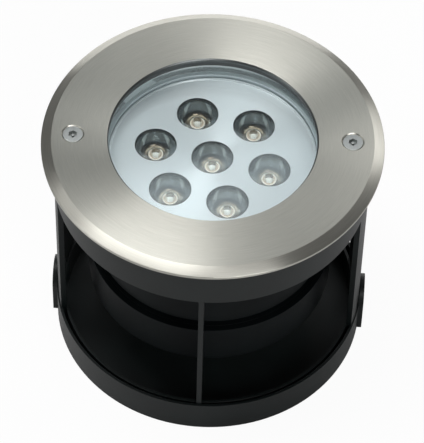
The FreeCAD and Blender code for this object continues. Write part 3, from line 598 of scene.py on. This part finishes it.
def softened(node, name, body, slot, width):
    """The frame's own shape with its sharp edges rounded, in place of the node."""
    shape = bmesh.new()
    shape.from_mesh(NODES[node].data)
    bmesh.ops.remove_doubles(shape, verts=shape.verts, dist=FRAME_WELD_GAP)
    bmesh.ops.dissolve_limit(shape, angle_limit=FLAT_ANGLE, verts=shape.verts, edges=shape.edges)
    mesh = mesh_of(shape, name)
    mesh.shade_smooth()
    piece = new_object(name, mesh, body, slot)
    bevel = piece.modifiers.new("edges", "BEVEL")
    bevel.width = width
    bevel.segments = 2
    bevel.limit_method = "ANGLE"
    bevel.angle_limit = SHARP_ANGLE
    bevel.use_clamp_overlap = True
    normals = piece.modifiers.new("normals", "WEIGHTED_NORMAL")
    normals.keep_sharp = False
    apply_modifiers(piece)
    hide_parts(node)
    return piece


def paint_faces(piece, material, chosen):
    """Give the faces that pass a test a further material."""
    piece.data.materials.append(material)
    index = len(piece.data.materials) - 1
    for face in piece.data.polygons:
        if chosen(face):
            face.material_index = index


# ---- floor and light -----------------------------------------------------------------------------

def studio_floor():
    """A plain pale floor, which the camera sees nearly white, with a faint shadow of the object."""
    white_share = 0.95
    bpy.ops.mesh.primitive_plane_add(size=12.0, location=(0, 0, 0))
    floor = bpy.context.object
    floor.name = "studio_floor"
    paint = Paint("studio_floor")
    paint.colour(paint.ramp(paint.noise(1.5, 2.0), (0.80, 0.80, 0.80), (0.82, 0.82, 0.82)))
    paint.set(Roughness=0.9, Specular_IOR_Level=0.0)
    white = paint.node("Emission", Strength=1.0)
    path = paint.node("LightPath")
    share = paint.node("Math", operation="MULTIPLY")
    share.inputs[1].default_value = white_share
    paint.link(path.outputs["Is Camera Ray"], share.inputs[0])
    paint.show_mix(share.outputs["Value"], paint.shader.outputs["BSDF"], white.outputs["Emission"])
    floor.data.materials.append(paint.material)


def studio_background():
    """White where the camera sees it, and a faint even light on the object."""
    even_light = 0.07
    more_in_mirrors = 0.03
    world = bpy.data.worlds.new("studio")
    bpy.context.scene.world = world
    world.use_nodes = True
    tree = world.node_tree
    background = tree.nodes["Background"]
    background.inputs["Color"].default_value = (1, 1, 1, 1)
    path = tree.nodes.new("ShaderNodeLightPath")
    seen = tree.nodes.new("ShaderNodeMapRange")
    seen.inputs["To Min"].default_value = even_light
    seen.inputs["To Max"].default_value = 1.0
    tree.links.new(path.outputs["Is Camera Ray"], seen.inputs["Value"])
    mirrored = tree.nodes.new("ShaderNodeMath")
    mirrored.operation = "MULTIPLY_ADD"
    mirrored.inputs[1].default_value = more_in_mirrors
    tree.links.new(path.outputs["Is Glossy Ray"], mirrored.inputs[0])
    tree.links.new(seen.outputs["Result"], mirrored.inputs[2])
    tree.links.new(mirrored.outputs["Value"], background.inputs["Strength"])


def soft_box(name, direction, distance, width, height, power, roll=0.0, tint=(1, 1, 1)):
    """A rectangular area light that looks at the object's upper part from a direction."""
    target = Vector((0, 0, 100 * MM))
    data = bpy.data.lights.new(name, "AREA")
    data.shape = "RECTANGLE"
    data.size = width
    data.size_y = height
    data.energy = power
    data.color = tint
    lamp = bpy.data.objects.new(name, data)
    bpy.context.scene.collection.objects.link(lamp)
    aim = Vector(direction).normalized()
    lamp.location = target + aim * distance
    lamp.rotation_mode = "QUATERNION"
    facing = (-aim).to_track_quat("-Z", "Y")
    lamp.rotation_quaternion = facing @ Quaternion((0, 0, 1), math.radians(roll))


def studio():
    """A plain pale floor, a white background and soft light from above."""
    studio_floor()
    studio_background()
    soft_box("key_box", (-0.24, 0.065, 0.96), 1.6, 0.45, 0.90, 13.6, -16.0)
    soft_box("mirrored_box", (0.0, 0.5944, 0.8042), 1.8, 0.34, 0.16, 0.37, 14.0, (0.87, 0.98, 1.03))
    soft_box("back_box", (0.06, 0.45, 0.88), 1.8, 1.1, 0.6, 1.2)
    soft_box("rear_mid_box", (-0.07, 0.90, 0.42), 1.7, 0.8, 0.3, 2.0)
    soft_box("side_glow", (0.30, 0.56, 0.77), 1.6, 0.4, 0.4, 0.7)
    soft_box("left_high_box", (-0.64, 0.26, 0.72), 1.6, 0.35, 0.35, 1.0)
    soft_box("right_back_box", (0.60, 0.62, 0.50), 1.6, 0.6, 0.6, 3.4)
    soft_box("rear_low_box", (-0.07, 1.0, 0.06), 1.6, 1.35, 0.4, 5.0)
    soft_box("front_box", (0.30, -0.76, 0.57), 1.8, 1.0, 0.6, 13.0)
    soft_box("left_box", (-1.0, -0.35, 0.20), 1.4, 0.5, 0.5, 3.0)


# ---- the cover and its screws --------------------------------------------------------------------

def cover():
    """The brushed ring, with a recess under its lip, a bevelled rim and two countersunk holes."""
    under_lip = COVER_TOP - LIP_DEPTH
    flat_start = APERTURE_RADIUS + CUT_EDGE_RUN
    ring = lathe("stainless_cover", [
        (APERTURE_RADIUS, under_lip, 0.2 * MM), (RECESS_RADIUS, under_lip, 0),
        (RECESS_RADIUS, COVER_UNDER, 0.2 * MM), (COVER_RADIUS, COVER_UNDER, 0.3 * MM),
        (COVER_RADIUS, COVER_TOP - BEVEL_FALL, 0.5 * MM),
        (COVER_RADIUS - BEVEL_RUN, COVER_TOP, 0.6 * MM), (flat_start, COVER_TOP, 0.4 * MM),
        (APERTURE_RADIUS, COVER_TOP - CUT_EDGE_FALL, 0.5 * MM)], "cover", "stainless", RING_STEPS)
    for node, body in (("cover_screw_left", "left_screw"), ("cover_screw_right", "right_screw")):
        countersink(ring, node)
        cover_screw(node, body)
    ring.data.shade_smooth()
    ring.data.set_sharp_from_angle(angle=SHARP_ANGLE)
    # the aperture's edge gets the darker steel, partly painted shade
    paint_faces(ring, cut_edge(), lambda face: face.center.xy.length < flat_start)
    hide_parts("cover_ring")


def countersink(ring, node):
    """A screw's hole in the cover: a cone for the head and a drilled hole for the shank."""
    low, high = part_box(node)
    pitch = (low.x + high.x) / 2
    head = (high.x - low.x) / 2
    drill = 3.3 * MM
    mouth = head + 0.25 * MM
    above = 0.3 * MM
    depth = 3.6 * MM
    right_through = 12 * MM
    cut_cone(ring, (pitch, 0, COVER_TOP + above - depth / 2), drill, mouth + above, depth)
    cut_cone(ring, (pitch, 0, COVER_TOP), drill, drill, right_through)


def cover_screw(node, body):
    """A countersunk screw with a hexagon socket and a pin in it."""
    low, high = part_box(node)
    centre = Vector(((low.x + high.x) / 2, 0, 0))
    head = (high.x - low.x) / 2
    top = high.z
    shank = 3.0 * MM
    screw = turned_copies(node + "_bright", [
        (0, low.z, 0), (shank - 0.5 * MM, low.z, 0), (shank, low.z + 0.5 * MM, 0),
        (shank, top - 2.9 * MM, 0.2 * MM), (head - 0.3 * MM, top - 0.4 * MM, 0.1 * MM),
        (head - 0.55 * MM, top, 0.2 * MM), (0, top, 0)],
        [centre], body, "screw_steel", node, SMALL_STEPS)
    socket = 2.5 * MM
    socket_depth = 2.2 * MM
    cut_cone(screw, (centre.x, 0, top), socket, socket, 2 * socket_depth, 6)
    pin = 0.8 * MM
    pin_foot = top - socket_depth - 0.2 * MM
    pin_top = top - 0.5 * MM
    shape = bmesh.new()
    shape.from_mesh(screw.data)
    turned_into(shape, rounded([(0, pin_foot, 0), (pin, pin_foot, 0), (pin, pin_top, 0.3 * MM),
                                (0, pin_top, 0)]), centre, PIN_STEPS)
    weld(shape)
    shape.to_mesh(screw.data)
    shape.free()
    screw.data.shade_smooth()
    screw.data.set_sharp_from_angle(angle=SHARP_ANGLE)


# ---- the glass, the LED plate and what lies under it ---------------------------------------------

def glass_pane():
    """The glass disc, with arrised corners and a ground edge."""
    low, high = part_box("glass_disc")
    radius = high.x
    arris = 0.5 * MM
    pane = lathe("glass_pane", [
        (0, low.z, 0), (radius - arris, low.z, 0), (radius, low.z + arris, 0),
        (radius, high.z - arris, 0), (radius - arris, high.z, 0), (0, high.z, 0)],
        "lamp", "clear_glass", RING_STEPS)
    pane.data.set_sharp_from_angle(angle=SHARP_ANGLE)
    paint_faces(pane, ground_glass(), lambda face: face.center.xy.length > radius - arris)
    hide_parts("glass_disc")


def led_centres():
    """The seven LEDs: one in the middle and six round it."""
    centres = [Vector((0, 0, 0))]
    for i in range(6):
        turn = math.radians(LED_FIRST_ANGLE + 60 * i)
        centres.append(Vector((math.cos(turn), math.sin(turn), 0)) * LED_PITCH)
    return centres


LED_CENTRES = led_centres()


def from_led(face):
    """The way to a face's middle from the nearest LED's axis, seen from above."""
    return min((face.center.xy - centre.xy for centre in LED_CENTRES), key=lambda way: way.length)


def face_plate():
    """The silver LED plate, with painted shade on the walls of its holes."""
    plate = softened("led_face_plate", "silver_face_plate", "lamp", "silver_plate", 0.12 * MM)
    steepest_flat = 0.5
    # painted shade on the steep hole walls
    paint_faces(plate, hole_edge_shade(), lambda face: (
        from_led(face).length < HOLE_REACH and abs(face.normal.z) < steepest_flat))


def lenses():
    """The collimator lenses: a clear top, a mirror flank and a hollow over each light source."""
    crown = LENS_UNDER + 4.6 * MM
    piece = turned_copies("clear_lenses", [
        (LENS_CAVITY, LENS_UNDER, 0), (LENS_FOOT, LENS_UNDER, 0.1 * MM), *LENS_CURVE,
        (LENS_RIM, LENS_EDGE, 0), (LENS_RIM, LENS_TOP, 0.3 * MM), (LENS_RIM * 0.66, LENS_TOP, 0),
        (LENS_RIM * 0.33, LENS_TOP, 0), (0, LENS_TOP, 0), (0, crown, 0),
        (LENS_CAVITY * 0.5, crown - 0.35 * MM, 0), (LENS_CAVITY * 0.85, crown - 1.1 * MM, 0),
        (LENS_CAVITY, crown - 2.0 * MM, 0)],
        LED_CENTRES, "lamp", "clear_optic", "led_lenses", LENS_STEPS)
    face_depth = 0.4 * MM
    hollow_reach = LENS_CAVITY + 0.1 * MM

    def below_top(face):
        return face.center.z < LENS_TOP - face_depth

    # the flank below the top gets its painted shade by height
    paint_faces(piece, lens_flank_shade(LENS_UNDER, LENS_TOP), below_top)
    paint_faces(piece, lens_hollow(), lambda face: (
        below_top(face) and from_led(face).length < hollow_reach))


def lens_cups():
    """The cups round the lenses."""
    low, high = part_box("lens_holders")
    wall = 12.1 * MM
    gap = 0.08 * MM
    inside = [(across + gap, up, 0) for across, up, _ in reversed(LENS_CURVE)]
    turned_copies("lens_cups", [
        (LENS_FOOT + gap, low.z, 0), (wall, low.z, 0.3 * MM), (wall, high.z, 0),
        (LENS_RIM + gap, high.z, 0), (LENS_RIM + gap, LENS_EDGE, 0), *inside],
        LED_CENTRES, "lamp", "holder_plastic", "lens_holders", LENS_STEPS)


def led_bodies(chip):
    """The light sources' bodies: a rim round a shallow well, with the chip's look at the rear."""
    low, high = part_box("led_emitters")
    top = high.z
    radius = 4.0 * MM
    well = top - 0.6 * MM
    bodies = turned_copies("led_bodies", [
        (0, low.z, 0), (radius, low.z, 0.1 * MM), (radius, top - 0.1 * MM, 0.05 * MM),
        (radius * 0.98, top, 0.05 * MM), (radius * 0.84, top, 0.1 * MM), (radius * 0.76, well, 0),
        (0, well, 0)], LED_CENTRES, "lamp", "emitter_cream", "led_emitters", SMALL_STEPS)
    bodies.data.materials[0] = emitter_body(low.z, top)
    chip_start = 1.2 * MM
    chip_half_width = 2.0 * MM

    def at_rear(face):
        way = from_led(face)
        return way.y > chip_start and abs(way.x) < chip_half_width

    paint_faces(bodies, chip, at_rear)


def led_domes(chip):
    """The domes over the light sources: dark over the chip, a painted highlight at the front, peach at
    the sides.
    """
    low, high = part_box("led_domes")
    radius = high.z - low.z
    arc = [(radius * math.sin(math.radians(a)), low.z + radius * math.cos(math.radians(a)), 0)
           for a in range(90, 0, -10)]
    domes = turned_copies("led_dome_caps", [(0, low.z, 0), *arc, (0, high.z, 0)],
                          LED_CENTRES, "lamp", "dome_silicone", "led_domes", DOME_STEPS)
    # the dome sides are peach, with a faint painted glow
    domes.data.materials[0] = led_dome("dome_side", (0.74, 0.64, 0.50), (0.80, 0.70, 0.56), 0.12)
    # painted highlight: a near-white patch with a stronger painted glow on each dome's front, in place
    # of the lamps' reflection
    front = led_dome("dome_front_highlight", (0.93, 0.87, 0.78), (0.97, 0.91, 0.82), 0.22)
    chip_start = -0.1 * radius
    chip_half_width = 0.75 * radius
    front_half_width = 0.55 * radius

    def over_chip(face):
        way = from_led(face)
        return way.y > chip_start and abs(way.x) < chip_half_width

    def at_front(face):
        way = from_led(face)
        return way.y < 0 and abs(way.x) < front_half_width and not over_chip(face)

    paint_faces(domes, chip, over_chip)
    # the front faces get the painted highlight
    paint_faces(domes, front, at_front)


def light_sources():
    """Bodies and domes, which share the look of the chip seen through the silicone."""
    # the chip's own tan colour, with a faint painted glow
    chip = led_dome("dome_chip", (0.22, 0.175, 0.12), (0.28, 0.225, 0.16), 0.1)
    led_bodies(chip)
    led_domes(chip)


# ---- the whole -----------------------------------------------------------------------------------

def finish_nodes():
    """Give every node of the frame the material of its slot."""
    for row in frame["record"]["subparts"]:
        node = NODES[row["node"]]
        node.data.materials.clear()
        node.data.materials.append(MATERIALS[row["material_slot"]])


look_from_the_photo()
studio()
finish_nodes()
cover()
glass_pane()
lenses()
lens_cups()
light_sources()
softened("sleeve_cage", "moulded_cage", "sleeve", "black_plastic", 0.4 * MM)
softened("sleeve_base_ring", "moulded_base_ring", "sleeve", "black_plastic", 0.4 * MM)
softened("lamp_housing", "cast_housing", "lamp", "black_casting", 0.5 * MM)
softened("driver_chamber", "cast_chamber", "lamp", "black_casting", 0.5 * MM)
face_plate()
softened("trim_sleeve", "silver_trim", "lamp", "satin_aluminium", 0.2 * MM)
for node, slot, width in SMALL_PARTS:
    softened(node, node + "_finished", "lamp", slot, width)

bpy.context.scene.view_settings.view_transform = "Standard"
